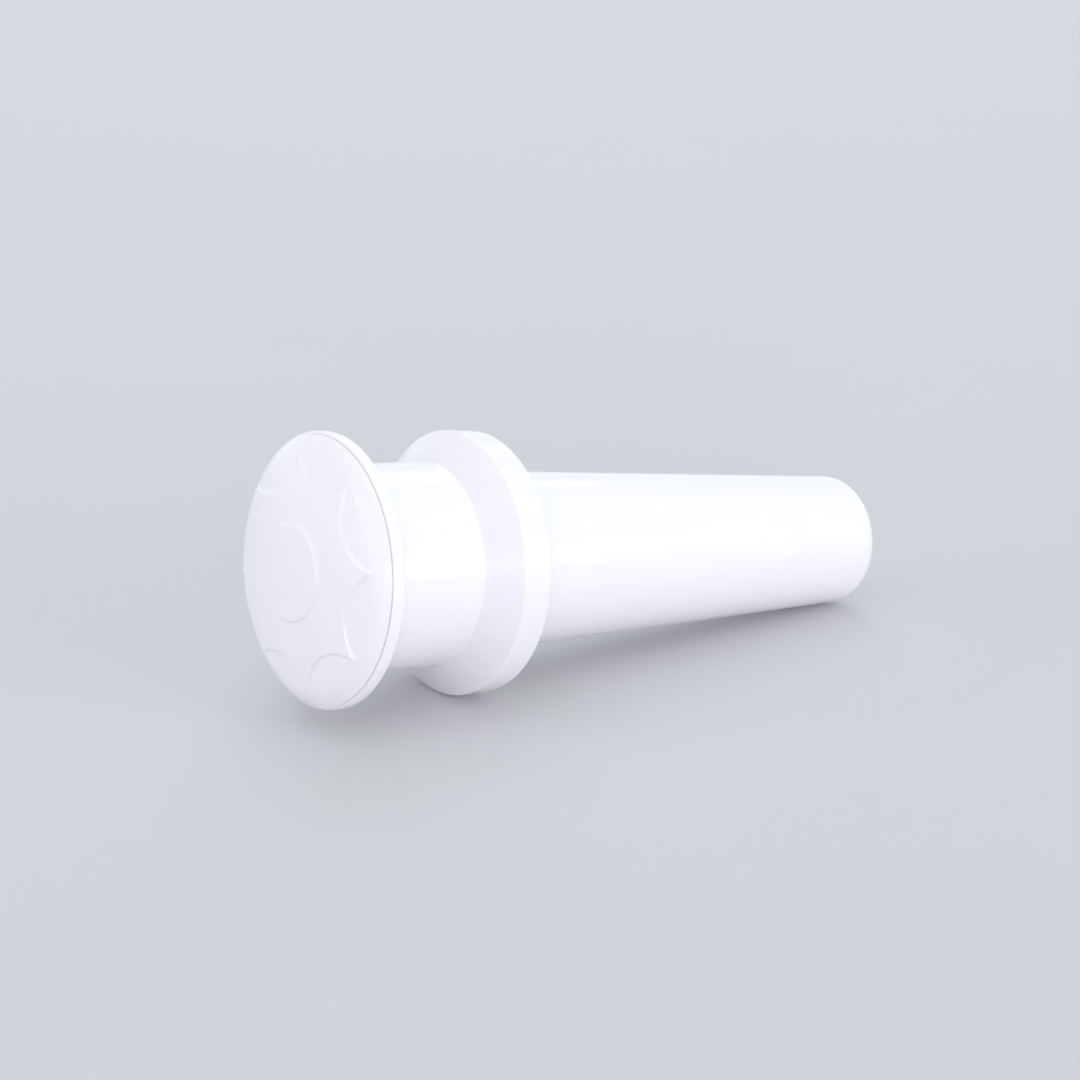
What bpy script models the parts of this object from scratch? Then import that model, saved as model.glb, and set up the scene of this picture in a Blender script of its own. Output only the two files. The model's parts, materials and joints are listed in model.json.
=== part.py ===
"""A hand-held pore suction tool, lying at rest on its finger flange and its nose.

Turned pieces are drawn as (radius, station) pairs in millimetres. Stations run along the tool's
axis, from the widest circle of the thumb button (0) towards the nose. Each piece is built about
its own Z axis with the button up, and one empty lays the whole tool down on the ground plane.
"""
import math

import bmesh
import bpy
from mathutils import Vector

MM = 0.001
GAP = 0.3  # clearance left where one piece rests on or plugs into another

# outside of the tool
BUTTON_R = 19.0
NECK_R = 14.35
FLANGE_R_FRONT = 18.6
FLANGE_R_BACK = 18.35
BARREL_R = 12.73
NOSE_R = 9.7
NOSE_ROUND = 3.14
RIM_TOP = 0.2
RIM_BACK = 1.73
NECK_END = 17.6  # from here the flange's front flares out
FLANGE_FRONT = 21.47
FLANGE_BACK = 26.13
NOSE_END = 94.58

# domed thumb cap
DOME_RISE = 4.2
DOME_DROP = 3.04
DOME_EDGE_R = 16.15
EDGE_CURVE = ((DOME_EDGE_R, -2.0), (17.05, -1.75), (BUTTON_R, -0.15), (BUTTON_R, 0.45))
CAP_SHARE = 0.76  # of that rounded edge; the rim has the rest
CAP_WALL = 1.7
CAP_LAND_R = 17.0
STEP = 0.35  # height of each raised level on the dome
DISC_R = 6.7
STAR_POINTS = 8
STAR_TIP_R = 16.6
STAR_WAIST_R = 12.45
STAR_TURN = math.radians(13.3)
PEG_R = 1.1
PEG_RING_R = 9.5

# handle moulding
NECK_BORE_R = 13.35
WEB_BACK = 2.4
BOSS_R = 4.6
BOSS_END = 5.0
POCKET_R = 17.2
POCKET_TOP = 22.97
MOUTH_R = 12.92

# telescoping barrel
COLLAR_TOP = 20.0
COLLAR_R = 13.15
SPIGOT_R = 11.15
WELL_R = 8.8
WELL_FLOOR = 28.0
HEAD_END = 30.0
GLAND_R = 2.75
BARREL_BORE_R = 11.43
SHELL_TOP = 23.2
STEP_STATION = 59.6
LINER_R = 9.7
LINER_BORE_R = 8.6
LINER_END = 58.2
TIP_BORE_R = 4.2
TIP_END = 95.4

# piston on its fixed rod
ROD_R = 2.5
ROD_TOP = 2.7
ROD_END = 35.3
SHOULDER_TOP = 30.6
PILOT_R = 1.3
PILOT_DEPTH = 8.0
PISTON_TOP = 32.3
PISTON_END = 37.8
PISTON_R = 8.3
GROOVE_R = 6.7
VENT_R = 0.6
VENT_RING_R = 4.9
VENTS = 6

# return spring
SPRING_R = 6.0
WIRE_R = 0.45
SPRING_TURNS = 8
SPRING_STEPS = 20

BIG = 48  # steps round the large turned pieces
SMALL = 32
HALF_FACET = math.pi / BIG


def clear_scene():
    for obj in list(bpy.data.objects):
        bpy.data.objects.remove(obj, do_unlink=True)


def collection(name):
    made = bpy.data.collections.new(name)
    bpy.context.scene.collection.children.link(made)
    return made


def finish(name, colour, roughness, metallic=0.0):
    made = bpy.data.materials.new(name)
    made.use_nodes = True
    shader = made.node_tree.nodes["Principled BSDF"]
    shader.inputs["Base Color"].default_value = (*colour, 1.0)
    shader.inputs["Roughness"].default_value = roughness
    shader.inputs["Metallic"].default_value = metallic
    return made


def place(name, data, group, axis, surface=None):
    """A new object on the axis that its body moves along."""
    obj = bpy.data.objects.new(name, data)
    group.objects.link(obj)
    obj.parent = axis
    if surface:
        data.materials.append(finish(name + "_finish", *surface))
    if group is cutters:
        obj.hide_render = True
        obj.display_type = "WIRE"
    return obj


def arc(radius, station, size, start, end, steps):
    """Points round (radius, station); 0 degrees points outwards and 90 degrees to the nose."""
    points = []
    for i in range(steps + 1):
        a = math.radians(start + (end - start) * i / steps)
        points.append((radius + size * math.cos(a), station + size * math.sin(a)))
    return points


def turned(name, profile, axis, surface=None, group=None, steps=SMALL, ring=True):
    """A piece of revolution. A ring's profile closes on itself, any other one ends on the axis."""
    mesh = bpy.data.meshes.new(name)
    points = [(r * MM, 0.0, -s * MM) for r, s in profile]
    edges = [(i, i + 1) for i in range(len(points) - 1)]
    if ring:
        edges.append((len(points) - 1, 0))
    mesh.from_pydata(points, edges, [])
    obj = place(name, mesh, group or parts, axis, surface)
    obj.rotation_euler.z = math.pi / steps
    screw = obj.modifiers.new("turn", "SCREW")
    screw.axis = "Z"
    screw.angle = 2 * math.pi
    screw.steps = screw.render_steps = steps
    screw.use_merge_vertices = True
    screw.merge_threshold = 0.00001
    return obj


def posts(name, radius, top, end, ring_r, count, axis, turn=0.0):
    """Equal round posts on a circle, in one mesh that cuts another piece or joins it."""
    bm = bmesh.new()
    for i in range(count):
        a = turn + 2 * math.pi * i / count
        made = bmesh.ops.create_cone(
            bm, cap_ends=True, segments=16, radius1=radius * MM, radius2=radius * MM, depth=(end - top) * MM
        )
        middle = Vector((ring_r * math.cos(a), ring_r * math.sin(a), -(top + end) / 2)) * MM
        bmesh.ops.translate(bm, verts=made["verts"], vec=middle)
    mesh = bpy.data.meshes.new(name)
    bm.to_mesh(mesh)
    bm.free()
    return place(name, mesh, cutters, axis)


def box(name, size, station, axis, turn=0.0):
    bm = bmesh.new()
    bmesh.ops.create_cube(bm, size=1.0)
    bmesh.ops.scale(bm, verts=bm.verts, vec=Vector(size) * MM)
    mesh = bpy.data.meshes.new(name)
    bm.to_mesh(mesh)
    bm.free()
    obj = place(name, mesh, cutters, axis)
    obj.location.z = -station * MM
    obj.rotation_euler.z = turn
    return obj


def combine(obj, operation, other):
    made = obj.modifiers.new(other.name, "BOOLEAN")
    made.operation = operation
    made.solver = "EXACT"
    made.object = other


def dome(radius):
    """Station of the dome's lowest level at this radius."""
    return DOME_DROP * (radius / BUTTON_R) ** 2 - DOME_RISE


def dome_points(first, last, steps, lift):
    span = [first + (last - first) * i / steps for i in range(steps + 1)]
    return [(r, dome(r) + lift) for r in span]


def edge_points(steps, lift=0.0, share=1.0):
    """The cap's rounded edge from the dome outwards, or this share of it."""
    points = []
    for i in range(1, steps + 1):
        t = share * i / steps
        weights = ((1 - t) ** 3, 3 * t * (1 - t) ** 2, 3 * t * t * (1 - t), t**3)
        r, s = (sum(w * p[k] for w, p in zip(weights, EDGE_CURVE)) for k in (0, 1))
        points.append((r, s + lift))
    return points


def star_outline(steps):
    """Eight points joined by hollow arcs, each struck from a centre outside the star."""
    half = math.pi / STAR_POINTS
    tip_x = STAR_TIP_R * math.cos(half)
    tip_y = STAR_TIP_R * math.sin(half)
    sag = tip_x - STAR_WAIST_R
    radius = (tip_y**2 + sag**2) / (2 * sag)
    centre = STAR_WAIST_R + radius
    reach = math.asin(tip_y / radius)
    outline = []
    for k in range(STAR_POINTS):
        middle = STAR_TURN + (2 * k + 1) * half
        for i in range(steps):
            a = -reach + 2 * reach * i / steps
            x = centre - radius * math.cos(a)
            y = radius * math.sin(a)
            outline.append(
                (x * math.cos(middle) - y * math.sin(middle), x * math.sin(middle) + y * math.cos(middle))
            )
    return outline


def make_thumb_cap(axis):
    underside = dome_points(CAP_LAND_R - 0.6, 0.0, 8, CAP_WALL)
    edge = edge_points(5, share=CAP_SHARE)
    profile = dome_points(0.0, DOME_EDGE_R, 9, 0.0) + edge + [(CAP_LAND_R, edge[-1][1])] + underside
    cap = turned("thumb_cap", profile, axis, WHITE, steps=BIG, ring=False)

    top = 0.5 * CAP_WALL
    band = dome_points(0.0, DOME_EDGE_R, 8, -STEP) + edge_points(3, lift=-STEP, share=0.5)
    band += dome_points(DOME_EDGE_R, 0.0, 8, top)
    star = turned("star_level", band, axis, group=cutters, steps=BIG, ring=False)
    outline = star_outline(7)
    mesh = bpy.data.meshes.new("star_prism")
    mesh.from_pydata([(x * MM, y * MM, 0.0) for x, y in outline], [], [range(len(outline))])
    prism = place("star_prism", mesh, cutters, axis)
    thick = prism.modifiers.new("thickness", "SOLIDIFY")
    thick.thickness = 14 * MM
    thick.offset = 0.0
    combine(star, "INTERSECT", prism)
    combine(cap, "UNION", star)

    disc = dome_points(0.0, DISC_R, 4, -2 * STEP) + dome_points(DISC_R, 0.0, 4, top + 0.1)
    combine(cap, "UNION", turned("disc_level", disc, axis, group=cutters, steps=BIG, ring=False))

    pegs = posts("cap_pegs", PEG_R, dome(PEG_RING_R) + 1.2, WEB_BACK - 0.1, PEG_RING_R, 3, axis)
    combine(cap, "UNION", pegs)


def make_handle_shell(axis):
    profile = [(1.5, RIM_TOP), (BUTTON_R - 0.07, RIM_TOP), (BUTTON_R, RIM_TOP + 0.25)]
    profile += [(BUTTON_R, RIM_BACK - 0.3), (BUTTON_R - 0.3, RIM_BACK)]
    profile += arc(NECK_R + 0.6, RIM_BACK + 0.6, 0.6, -90, -180, 3)
    profile += [(NECK_R, NECK_END)] + arc(FLANGE_R_FRONT - 0.4, FLANGE_FRONT + 0.18, 0.4, -48, 0, 2)
    profile += arc(FLANGE_R_BACK - 0.4, FLANGE_BACK - 0.4, 0.4, 0, 90, 3)
    profile += [(POCKET_R, FLANGE_BACK), (POCKET_R, POCKET_TOP), (NECK_BORE_R, POCKET_TOP)]
    profile += [(NECK_BORE_R, WEB_BACK), (BOSS_R, WEB_BACK), (BOSS_R, BOSS_END)]
    profile += [(ROD_R + GAP, BOSS_END), (ROD_R + GAP, WEB_BACK), (1.5, WEB_BACK)]
    shell = turned("handle_shell", profile, axis, WHITE, steps=BIG)
    holes = posts("peg_holes", PEG_R + GAP, RIM_TOP - 1, WEB_BACK + 1, PEG_RING_R, 3, axis)
    combine(shell, "DIFFERENCE", holes)
    return profile


def make_flange_ring(axis):
    top = POCKET_TOP + GAP
    rim = POCKET_R - 0.25
    profile = [(13.9, top), (13.9, 24.6), (rim, 24.6), (rim, FLANGE_BACK - 0.15), (rim - 0.12, FLANGE_BACK - 0.03)]
    profile += [(MOUTH_R + 0.3, FLANGE_BACK - 0.03), (MOUTH_R, FLANGE_BACK - 0.33), (MOUTH_R, top)]
    turned("flange_ring", profile, axis, WHITE, steps=BIG)


def make_bumper_ring(axis):
    profile = [(10.0, 2.7), (12.8, 2.7), (12.8, 4.0), (12.6, 4.2), (10.2, 4.2), (10.0, 4.0)]
    turned("bumper_ring", profile, axis, SOFT_GREY, steps=BIG)


def make_barrel_head(axis):
    lip_r = LINER_R + GAP
    profile = [(COLLAR_R - 0.2, COLLAR_TOP), (COLLAR_R, COLLAR_TOP + 0.2), (COLLAR_R, POCKET_TOP)]
    profile += [(SPIGOT_R, POCKET_TOP), (SPIGOT_R, HEAD_END - 0.2), (lip_r + 0.8, HEAD_END)]
    profile += [(lip_r + 0.8, HEAD_END + 1.5), (lip_r, HEAD_END + 1.5), (lip_r, HEAD_END), (GLAND_R, HEAD_END)]
    profile += [(GLAND_R, 24.5), (4.3, 24.5), (4.3, WELL_FLOOR), (WELL_R, WELL_FLOOR)]
    profile += [(WELL_R, COLLAR_TOP + 0.2), (WELL_R + 0.2, COLLAR_TOP)]
    turned("barrel_head", profile, axis, NATURAL, steps=BIG)


def make_barrel_shell(axis):
    corner = NOSE_END - NOSE_ROUND
    profile = [(BARREL_R - 0.15, SHELL_TOP), (BARREL_R, SHELL_TOP + 0.15), (BARREL_R, FLANGE_BACK)]
    profile += arc(NOSE_R - NOSE_ROUND, corner, NOSE_ROUND, 0, 90, 8)
    profile += [(5.3, NOSE_END), (5.3, 92.9), (7.4, 92.9), (8.25, 92.0)]
    profile += [(8.5, STEP_STATION), (9.95, STEP_STATION), (11.2, 32.0)]
    profile += [(BARREL_BORE_R, HEAD_END), (BARREL_BORE_R, SHELL_TOP)]
    turned("barrel_shell", profile, axis, WHITE, steps=BIG)
    return profile


def make_cylinder_liner(axis):
    top = HEAD_END + GAP
    profile = [(LINER_R, top), (LINER_R, LINER_END), (LINER_BORE_R, LINER_END), (LINER_BORE_R, top)]
    turned("cylinder_liner", profile, axis, ALUMINIUM, steps=BIG)


def make_liner_gasket(axis):
    top = LINER_END + GAP
    end = STEP_STATION - GAP
    profile = [(9.65, top), (9.65, end), (LINER_BORE_R, end), (LINER_BORE_R, top)]
    turned("liner_gasket", profile, axis, SOFT_GREY, steps=BIG)


def make_suction_tip(axis):
    neck = NOSE_END + 0.25
    profile = [(TIP_BORE_R, 91.2), (6.0, 91.2), (6.3, 91.5), (6.3, 92.6), (5.05, 92.6), (5.05, neck)]
    profile += [(6.1, neck), (6.3, neck + 0.15), (6.2, TIP_END - 0.1), (6.0, TIP_END)]
    profile += [(TIP_BORE_R + 0.3, TIP_END), (TIP_BORE_R, TIP_END - 0.3)]
    turned("suction_tip", profile, axis, SILICONE)


def make_piston_rod(axis):
    profile = [(0.0, ROD_TOP + PILOT_DEPTH), (PILOT_R, ROD_TOP + PILOT_DEPTH), (PILOT_R, ROD_TOP), (ROD_R, ROD_TOP)]
    profile += [(ROD_R, SHOULDER_TOP), (4.0, SHOULDER_TOP), (4.0, SHOULDER_TOP + 0.7), (ROD_R, SHOULDER_TOP + 0.7)]
    profile += [(ROD_R, ROD_END), (PILOT_R, ROD_END), (PILOT_R, ROD_END - PILOT_DEPTH), (0.0, ROD_END - PILOT_DEPTH)]
    turned("piston_rod", profile, axis, NATURAL, ring=False)


def make_valve_flap(axis):
    profile = [(2.8, 31.6), (6.3, 31.6), (6.3, 32.0), (2.8, 32.0)]
    turned("valve_flap", profile, axis, SILICONE)


def make_piston_body(axis):
    profile = [(GLAND_R, PISTON_TOP), (PISTON_R - 0.2, PISTON_TOP), (PISTON_R, PISTON_TOP + 0.2)]
    profile += [(PISTON_R, 34.0), (GROOVE_R, 34.0), (GROOVE_R, 36.0), (PISTON_R, 36.0)]
    profile += [(PISTON_R, PISTON_END - 0.2), (PISTON_R - 0.2, PISTON_END), (1.4, PISTON_END)]
    profile += [(1.4, ROD_END + GAP), (GLAND_R, ROD_END + GAP)]
    piston = turned("piston_body", profile, axis, NATURAL, steps=BIG)
    vents = posts("vents", VENT_R, PISTON_TOP - 1, PISTON_END + 1, VENT_RING_R, VENTS, axis)
    combine(piston, "DIFFERENCE", vents)


def make_piston_seal(axis):
    turned("piston_seal", arc(7.62, 35.0, 0.85, -180, 150, 11), axis, RUBBER, steps=BIG)


def make_screw(name, seat, towards, axis):
    """A pan-head screw. seat is the station under its head; towards is 1 if it points to the nose."""
    head = [(0.0, -1.5), (1.5, -1.4), (2.3, -1.0), (2.6, -0.4), (2.6, 0.0), (1.0, 0.0), (1.0, 9.4), (0.5, 9.8), (0.0, 9.8)]
    profile = [(r, seat + towards * s) for r, s in head]
    if towards < 0:
        profile.reverse()
    screw = turned(name, profile, axis, STEEL, steps=24, ring=False)
    for i in range(2):
        size = (3.2, 0.6, 1.6)
        combine(screw, "DIFFERENCE", box(f"{name}_slot_{i}", size, seat - towards * 1.5, axis, i * math.pi / 2))


def make_return_spring(axis):
    """Closed end turns, and an even pitch between them."""
    first = WEB_BACK + GAP + WIRE_R
    last = WELL_FLOOR - GAP - WIRE_R
    closed = 2.2 * WIRE_R  # pitch of the end turns
    pitch = (last - first - 2 * closed) / (SPRING_TURNS - 2)
    count = SPRING_TURNS * SPRING_STEPS
    curve = bpy.data.curves.new("return_spring", "CURVE")
    curve.dimensions = "3D"
    curve.bevel_depth = WIRE_R * MM
    curve.bevel_resolution = 2
    curve.use_fill_caps = True
    spline = curve.splines.new("POLY")
    spline.points.add(count)
    for i in range(count + 1):
        turns = i / SPRING_STEPS
        middle = min(max(turns - 1, 0.0), SPRING_TURNS - 2)
        station = first + closed * (turns - middle) + pitch * middle
        a = 2 * math.pi * turns
        point = (SPRING_R * math.cos(a) * MM, SPRING_R * math.sin(a) * MM, -station * MM, 1.0)
        spline.points[i].co = point
    place("return_spring", curve, parts, axis, STEEL)


def lie_down(frame, handle_profile, barrel_profile):
    """Tilts the tool until its flange and its nose both touch the ground."""

    def depth(profile, tilt):
        flat = math.cos(HALF_FACET) * math.cos(tilt)
        return max(r * flat + s * math.sin(tilt) for r, s in profile)

    low, high = 0.0, math.radians(20)
    for _ in range(60):
        tilt = (low + high) / 2
        if depth(handle_profile, tilt) > depth(barrel_profile, tilt):
            low = tilt
        else:
            high = tilt
    frame.rotation_euler.y = tilt - math.pi / 2
    bpy.context.view_layer.update()


def rest_on_origin(frame):
    """Moves the tool so that the origin is the middle of its box's bottom face."""
    graph = bpy.context.evaluated_depsgraph_get()
    points = []
    for obj in parts.objects:
        evaluated = obj.evaluated_get(graph)
        mesh = evaluated.to_mesh()
        points += [evaluated.matrix_world @ v.co for v in mesh.vertices]
        evaluated.to_mesh_clear()
    lowest = Vector(min(p[k] for p in points) for k in range(3))
    highest = Vector(max(p[k] for p in points) for k in range(3))
    frame.location -= Vector(((lowest.x + highest.x) / 2, (lowest.y + highest.y) / 2, lowest.z))
    bpy.context.view_layer.update()


def empty(name, parent=None):
    obj = bpy.data.objects.new(name, None)
    parts_frame.objects.link(obj)
    obj.empty_display_size = 0.01
    obj.parent = parent
    return obj


WHITE = ((0.86, 0.86, 0.88), 0.22)
NATURAL = ((0.80, 0.79, 0.75), 0.45)
SOFT_GREY = ((0.35, 0.36, 0.38), 0.6)
SILICONE = ((0.78, 0.80, 0.83), 0.5)
RUBBER = ((0.03, 0.03, 0.03), 0.6)
ALUMINIUM = ((0.78, 0.79, 0.80), 0.3, 1.0)
STEEL = ((0.62, 0.62, 0.64), 0.3, 1.0)

clear_scene()
parts_frame = collection("pore_suction_tool_frame")
parts = collection("pore_suction_tool")
cutters = collection("cutters")

tool_frame = empty("tool_frame")
handle_axis = empty("handle_axis", tool_frame)
barrel_axis = empty("barrel_axis", tool_frame)

make_thumb_cap(handle_axis)
handle_outline = make_handle_shell(handle_axis)
make_flange_ring(handle_axis)
make_bumper_ring(handle_axis)
make_piston_rod(handle_axis)
make_valve_flap(handle_axis)
make_piston_body(handle_axis)
make_piston_seal(handle_axis)
make_screw("rod_screw", RIM_TOP - GAP, 1, handle_axis)
make_screw("piston_screw", PISTON_END + GAP, -1, handle_axis)
make_return_spring(handle_axis)

make_barrel_head(barrel_axis)
barrel_outline = make_barrel_shell(barrel_axis)
make_cylinder_liner(barrel_axis)
make_liner_gasket(barrel_axis)
make_suction_tip(barrel_axis)

lie_down(tool_frame, handle_outline, barrel_outline)
rest_on_origin(tool_frame)
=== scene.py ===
"""The looks of a hand-held pore suction tool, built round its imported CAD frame.

Turned pieces are drawn as (radius, station) pairs in millimetres. Stations run along the tool's
axis, from the widest circle of the thumb button (0) towards the nose. Every piece is drawn about
its own Z axis with the button up, then laid on the tool's axis in the frame. Its finish is
painted in the coordinates that it was drawn in.
"""
import json
import math

import bmesh
import bpy
from mathutils import Matrix, Vector


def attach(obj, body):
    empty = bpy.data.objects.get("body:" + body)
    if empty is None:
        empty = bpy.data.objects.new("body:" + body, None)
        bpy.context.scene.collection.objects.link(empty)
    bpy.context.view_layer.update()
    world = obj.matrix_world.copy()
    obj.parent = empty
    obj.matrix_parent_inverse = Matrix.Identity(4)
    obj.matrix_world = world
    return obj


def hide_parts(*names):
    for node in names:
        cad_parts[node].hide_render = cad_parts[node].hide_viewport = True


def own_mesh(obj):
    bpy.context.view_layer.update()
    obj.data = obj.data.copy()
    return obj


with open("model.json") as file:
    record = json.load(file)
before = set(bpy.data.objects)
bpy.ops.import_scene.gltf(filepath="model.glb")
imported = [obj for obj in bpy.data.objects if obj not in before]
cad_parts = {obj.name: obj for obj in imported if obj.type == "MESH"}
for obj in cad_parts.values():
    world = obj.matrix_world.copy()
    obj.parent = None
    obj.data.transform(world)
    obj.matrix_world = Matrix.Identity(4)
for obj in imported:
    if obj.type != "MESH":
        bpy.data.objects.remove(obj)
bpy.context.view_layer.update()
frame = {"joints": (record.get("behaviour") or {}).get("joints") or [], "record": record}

MM = 0.001
ROUND = 192  # columns round a large turned piece
FINE = 96  # columns round a small one
SHARP = math.radians(38)  # edges steeper than this are shaded as creases

# outside of the tool
BUTTON_R = 19.0
NECK_R = 14.35
FLANGE_R_FRONT = 18.6
FLANGE_R_BACK = 18.35
BARREL_R = 12.73
NOSE_R = 9.7
NOSE_ROUND = 3.14
RIM_BACK = 1.73
NECK_END = 17.6
FLANGE_FRONT = 21.47
FLANGE_BACK = 26.13
NOSE_END = 94.58
TIP_END = 95.4

# domed thumb cap
DOME_RISE = 4.2
DOME_DROP = 3.04
DOME_EDGE_R = 16.15
EDGE_CURVE = ((DOME_EDGE_R, -2.0), (17.05, -1.75), (BUTTON_R, -0.15), (BUTTON_R, 0.45))
CAP_SHARE = 0.76  # of the rounded edge that is on the cap
RIM_SHARE = 0.775  # where the rim takes the edge up again, past the parting gap
CAP_WALL = 1.7
CAP_LAND_R = 17.0
FACE_R = 17.55  # the relief ends inside this radius
APRON_R = 8.0  # from here out the face's rings bend to follow the star
STEP = 0.35  # height of each raised level on the face
STEP_WIDTH = 0.42  # of the smooth wall between two levels
DISC_R = 6.7
STAR_POINTS = 8
STAR_TIP_R = 16.6
STAR_WAIST_R = 12.45
STAR_TURN = math.radians(13.3)
TIP_BLUNT = 0.5
SECTOR_COLUMNS = 72
PEG_R = 1.1
PEG_RING_R = 9.5
PEGS = 3

# inside of the handle
NECK_BORE_R = 13.35
WEB_HOLE_R = 1.5
WEB_BACK = 2.4
BOSS_R = 4.6
BOSS_END = 5.0
POCKET_R = 17.2
POCKET_TOP = 22.97
MOUTH_R = 12.92
RING_LIP_R = 13.9
RING_STEP = 24.6
BUMPER_R = 12.8
BUMPER_HOLE_R = 10.0
BUMPER_TOP = 2.7
BUMPER_END = 4.2

# inside of the barrel
COLLAR_TOP = 20.0
COLLAR_R = 13.15
SPIGOT_R = 11.15
BARREL_BORE_R = 11.43
SHELL_TOP = 23.2
BORE_TAPER_TOP = 32.0
BORE_TAPER_R = 11.2
STEP_STATION = 59.6
STEP_R = 9.95
NOSE_BORE_R = 8.5
NOSE_HOLE_R = 5.3
NOSE_INSIDE = 92.9
WELL_R = 8.8
WELL_FLOOR = 28.0
HEAD_END = 30.0
HEAD_LIP = 1.5
GLAND_R = 2.75
GLAND_TOP = 24.5
GLAND_WALL_R = 4.3
LINER_R = 9.7
LINER_BORE_R = 8.6
LINER_END = 58.2
GASKET_R = 9.65
TIP_BORE_R = 4.2
TIP_TOP = 91.2
TIP_COLLAR_R = 6.3
TIP_COLLAR_END = 92.65
TIP_NECK_R = 5.12
TIP_LIP_R = 6.35

# piston, its rod and the screws
ROD_R = 2.5
ROD_TOP = 2.7
ROD_END = 35.3
SHOULDER_TOP = 30.6
SHOULDER_R = 4.0
SHOULDER_DEPTH = 0.7
PILOT_R = 1.3
PILOT_DEPTH = 8.0
PISTON_TOP = 32.3
PISTON_END = 37.8
PISTON_R = 8.3
PISTON_HOLE_R = 1.4
GROOVE_R = 6.7
GROOVE_TOP = 34.0
GROOVE_END = 36.0
SEAL_R = 7.62
SEAL_WIRE_R = 0.85
FLAP_R = 6.3
FLAP_HOLE_R = 2.8
FLAP_TOP = 31.6
FLAP_END = 32.0
VENT_R = 0.6
VENT_RING_R = 4.9
VENTS = 6
SCREW_SEAT = -0.1
SCREW_LENGTH = 9.8
THREAD_PITCH = 0.8
THREAD_ROOT_R = 0.78
THREAD_DEPTH = 0.25
GAP = 0.3  # clearance where one piece rests on another

# return spring
SPRING_R = 6.0
WIRE_R = 0.45
SPRING_TURNS = 8

towards_nose = -Vector(frame["joints"][0]["axis"]).normalized()
nose_face = next(m for m in frame["record"]["mounts"] if m["name"] == "nose_face")
nose_point = Vector(nose_face["pos_m"])
nose_point.y = 0.0


def on_axis(station):
    return nose_point + towards_nose * (station - TIP_END) * MM


def axis_place():
    """The matrix that lays a piece drawn about its own Z axis on the tool's axis."""
    z = -towards_nose
    y = Vector((0.0, 1.0, 0.0))
    x = y.cross(z)
    return Matrix.Translation(on_axis(0.0)) @ Matrix((x, y, z)).transposed().to_4x4()


# ---------------------------------------------------------------- finishes


class Wire:
    """A socket in a node tree. Arithmetic on it adds Math nodes."""

    def __init__(self, owner, socket):
        self.owner = owner
        self.socket = socket

    def maths(self, operation, first, second):
        return self.owner.node("ShaderNodeMath", {"operation": operation}, {0: first, 1: second})

    def __add__(self, other):
        return self.maths("ADD", self, other)

    def __sub__(self, other):
        return self.maths("SUBTRACT", self, other)

    def __rsub__(self, other):
        return self.maths("SUBTRACT", other, self)

    def __mul__(self, other):
        return self.maths("MULTIPLY", self, other)

    def __pow__(self, other):
        return self.maths("POWER", self, other)

    __radd__ = __add__
    __rmul__ = __mul__


class Nodes:
    """A node tree, and the one way that nodes are added to it."""

    def __init__(self, tree):
        self.tree = tree

    def feed(self, socket, value):
        if isinstance(value, Wire):
            self.tree.links.new(value.socket, socket)
        else:
            socket.default_value = value

    def node(self, kind, settings=None, inputs=None, out=0):
        """Adds a node: its settings first, then the values or links of its sockets."""
        made = self.tree.nodes.new(kind)
        for key, value in (settings or {}).items():
            if key == "stops":
                stops = made.color_ramp.elements
                for _ in value[2:]:
                    stops.new(1.0)
                for stop, (position, colour) in zip(stops, value):
                    stop.position = position
                    stop.color = (*colour, 1.0)
            else:
                setattr(made, key, value)
        for key, value in (inputs or {}).items():
            self.feed(made.inputs[key], value)
        return Wire(self, made.outputs[out])


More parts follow.
